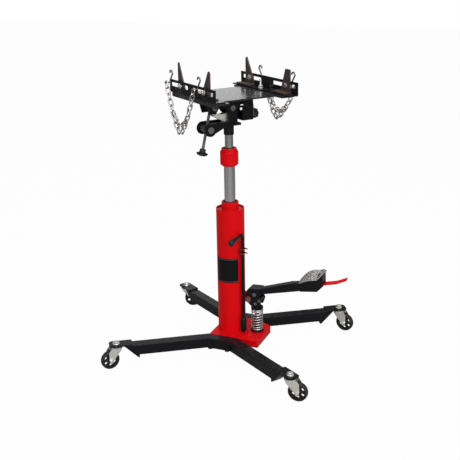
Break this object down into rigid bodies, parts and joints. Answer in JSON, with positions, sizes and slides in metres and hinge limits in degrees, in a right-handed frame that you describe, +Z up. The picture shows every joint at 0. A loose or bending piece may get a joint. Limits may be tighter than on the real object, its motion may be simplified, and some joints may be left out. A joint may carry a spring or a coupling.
{
  "type": "transmission jack",
  "caption": "Tall two-stage hydraulic transmission jack with foot pump, tilting saddle, clamp arms, chains and swivel casters.",
  "frame": {"origin": "on the floor under the column axis", "axes": "+Z up along the column, +X towards the foot pump and pedal, -Y towards the front leg; the saddle is turned 53 degrees about +Z"},
  "size_m": [0.8992, 0.7527, 1.1853],
  "materials": {
    "red_paint": "gloss",
    "dark_red_paint": "gloss",
    "black_paint": "satin",
    "table_paint": "gloss",
    "arm_bronze": "satin",
    "label_black": "gloss",
    "ram_chrome": "polished",
    "zinc": "zinc plated",
    "dark_steel": "blackened",
    "pad_plate": "checker plate",
    "knob_plastic": "matte",
    "wheel_plastic": "satin",
    "seal_rubber": "matte"
  },
  "bodies": {
    "base": {"base_box": "red_paint", "front_leg": "black_paint", "rear_leg": "black_paint", "leg_end_plates": "black_paint", "leg_bolts": "black_paint", "caster_races": "dark_steel", "caster_king_bolts": "zinc", "column_tube": "red_paint", "column_head": "red_paint", "pressure_tube": "dark_steel", "column_wiper": "seal_rubber", "label_plate": "label_black", "pump_body": "dark_steel", "pump_spring": "zinc", "pedal_lugs": "red_paint", "pedal_pivot_pin": "zinc", "pivot_bosses": "dark_red_paint", "release_sleeve": "black_paint", "rod_guide": "dark_red_paint"},
    "outer_ram": {"ram_outer_tube": "ram_chrome", "ram_outer_piston": "dark_steel", "ram_collar": "red_paint"},
    "inner_ram": {"ram_inner_rod": "ram_chrome", "ram_inner_piston": "dark_steel"},
    "head": {"saddle_head": "black_paint", "head_gusset": "zinc", "cradle_pin": "dark_steel"},
    "cradle": {"saddle_cradle": "black_paint", "cradle_pins": "dark_steel"},
    "trunnion": {"tilt_trunnion": "dark_steel"},
    "screw": {"tilt_screw": "dark_steel", "tilt_knob": "knob_plastic"},
    "table": {"saddle_table": "table_paint", "bracket_clamps": "zinc"},
    "side_knob": {"star_knob": "knob_plastic"},
    "left_bracket": {"bracket_left": "black_paint", "chain_left": "zinc"},
    "right_bracket": {"bracket_right": "black_paint", "chain_right": "zinc"},
    "pedal": {"pedal_yoke": "black_paint", "yoke_bolts": "dark_steel", "pedal_arm": "black_paint", "pedal_pad": "pad_plate", "pedal_tail": "red_paint"},
    "roller": {"pump_roller": "dark_steel"},
    "plunger": {"pump_plunger": "dark_steel"},
    "release": {"release_rod": "black_paint", "release_grip": "knob_plastic"},
    "fork_fl": {"caster_fork_fl": "zinc"},
    "wheel_fl": {"caster_wheel_fl": "wheel_plastic"},
    "fork_fr": {"caster_fork_fr": "zinc"},
    "wheel_fr": {"caster_wheel_fr": "wheel_plastic"},
    "fork_rr": {"caster_fork_rr": "zinc"},
    "wheel_rr": {"caster_wheel_rr": "wheel_plastic"},
    "fork_rl": {"caster_fork_rl": "zinc"},
    "wheel_rl": {"caster_wheel_rl": "wheel_plastic"},
    "clamp_arm_lf": {"arm_lf": "arm_bronze"},
    "clamp_arm_ln": {"arm_ln": "arm_bronze"},
    "clamp_arm_rf": {"arm_rf": "arm_bronze"},
    "clamp_arm_rn": {"arm_rn": "arm_bronze"}
  },
  "joints": [
    {"name": "caster_swivel_fl", "type": "hinge", "parent": "base", "child": "fork_fl", "pos_m": [-0.367, -0.328, 0.09], "axis": [0, 0, 1], "continuous": true},
    {"name": "caster_wheel_fl", "type": "hinge", "parent": "fork_fl", "child": "wheel_fl", "pos_m": [-0.38463, -0.35227, 0.0381], "axis": [0.809, -0.5878, 0], "continuous": true},
    {"name": "caster_swivel_fr", "type": "hinge", "parent": "base", "child": "fork_fr", "pos_m": [0.367, -0.328, 0.09], "axis": [0, 0, 1], "continuous": true},
    {"name": "caster_wheel_fr", "type": "hinge", "parent": "fork_fr", "child": "wheel_fr", "pos_m": [0.397, -0.32748, 0.0381], "axis": [-0.0175, 0.9998, 0], "continuous": true},
    {"name": "caster_swivel_rr", "type": "hinge", "parent": "base", "child": "fork_rr", "pos_m": [0.367, 0.328, 0.09], "axis": [0, 0, 1], "continuous": true},
    {"name": "caster_wheel_rr", "type": "hinge", "parent": "fork_rr", "child": "wheel_rr", "pos_m": [0.39654, 0.32279, 0.0381], "axis": [0.1736, 0.9848, 0], "continuous": true},
    {"name": "caster_swivel_rl", "type": "hinge", "parent": "base", "child": "fork_rl", "pos_m": [-0.367, 0.328, 0.09], "axis": [0, 0, 1], "continuous": true},
    {"name": "caster_wheel_rl", "type": "hinge", "parent": "fork_rl", "child": "wheel_rl", "pos_m": [-0.33981, 0.34068, 0.0381], "axis": [-0.4226, 0.9063, 0], "continuous": true},
    {"name": "outer_ram_lift", "type": "slide", "parent": "base", "child": "outer_ram", "axis": [0, 0, 1], "range_m": [-0.143, 0.315]},
    {"name": "inner_ram_lift", "type": "slide", "parent": "outer_ram", "child": "inner_ram", "axis": [0, 0, 1], "range_m": [-0.05, 0.4]},
    {"name": "head_swivel", "type": "hinge", "parent": "inner_ram", "child": "head", "pos_m": [0, 0, 0.93], "axis": [0, 0, 1], "continuous": true},
    {"name": "saddle_tilt", "type": "hinge", "parent": "head", "child": "cradle", "pos_m": [0, 0, 1.017], "axis": [0.7986, -0.6018, 0], "range_deg": [-7, 15]},
    {"name": "screw_trunnion", "type": "hinge", "parent": "head", "child": "trunnion", "pos_m": [-0.05898, -0.07827, 0.942], "axis": [-0.7986, 0.6018, 0], "range_deg": [-3, 5]},
    {"name": "tilt_screw_feed", "type": "slide", "parent": "trunnion", "child": "screw", "axis": [0.1374, 0.1824, 0.9736], "range_m": [-0.022, 0.012]},
    {"name": "side_tilt", "type": "hinge", "parent": "cradle", "child": "table", "pos_m": [0, 0, 1.051], "axis": [0.6018, 0.7986, 0], "range_deg": [-12, 12]},
    {"name": "side_clamp_turn", "type": "hinge", "parent": "cradle", "child": "side_knob", "pos_m": [0.0662, 0.08785, 0.98], "axis": [0.6018, 0.7986, 0], "continuous": true},
    {"name": "left_bracket_slide", "type": "slide", "parent": "table", "child": "left_bracket", "axis": [0.6018, 0.7986, 0], "range_m": [-0.01, 0.01]},
    {"name": "right_bracket_slide", "type": "slide", "parent": "table", "child": "right_bracket", "axis": [0.6018, 0.7986, 0], "range_m": [-0.01, 0.01]},
    {"name": "arm_slide_lf", "type": "slide", "parent": "left_bracket", "child": "clamp_arm_lf", "axis": [-0.7986, 0.6018, 0], "range_m": [-0.015, 0.05]},
    {"name": "arm_slide_ln", "type": "slide", "parent": "left_bracket", "child": "clamp_arm_ln", "axis": [-0.7986, 0.6018, 0], "range_m": [-0.03, 0.03]},
    {"name": "arm_slide_rf", "type": "slide", "parent": "right_bracket", "child": "clamp_arm_rf", "axis": [-0.7986, 0.6018, 0], "range_m": [-0.055, 0.02]},
    {"name": "arm_slide_rn", "type": "slide", "parent": "right_bracket", "child": "clamp_arm_rn", "axis": [-0.7986, 0.6018, 0], "range_m": [-0.008, 0.06]},
    {"name": "pedal_stroke", "type": "hinge", "parent": "base", "child": "pedal", "pos_m": [0.084, 0, 0.239], "axis": [0, 1, 0], "range_deg": [0, 25], "stiffness_Nm_per_rad": 50, "springref_deg": -34.38},
    {"name": "roller_turn", "type": "hinge", "parent": "pedal", "child": "roller", "pos_m": [0.114, 0, 0.223], "axis": [0, 1, 0], "continuous": true},
    {"name": "plunger_stroke", "type": "slide", "parent": "base", "child": "plunger", "axis": [0, 0, -1], "range_m": [0, 0.0134], "deforming": ["pump_spring"]},
    {"name": "release_turn", "type": "hinge", "parent": "base", "child": "release", "pos_m": [0.063, -0.028, 0.3], "axis": [0, 0, 1], "range_deg": [0, 90]}
  ],
  "couplings": [
    {"joint": "plunger_stroke", "follows": "pedal_stroke", "m_per_rad": 0.0305},
    {"joint": "screw_trunnion", "follows": "saddle_tilt", "ratio": 0.27},
    {"joint": "tilt_screw_feed", "follows": "saddle_tilt", "m_per_rad": -0.076}
  ]
}
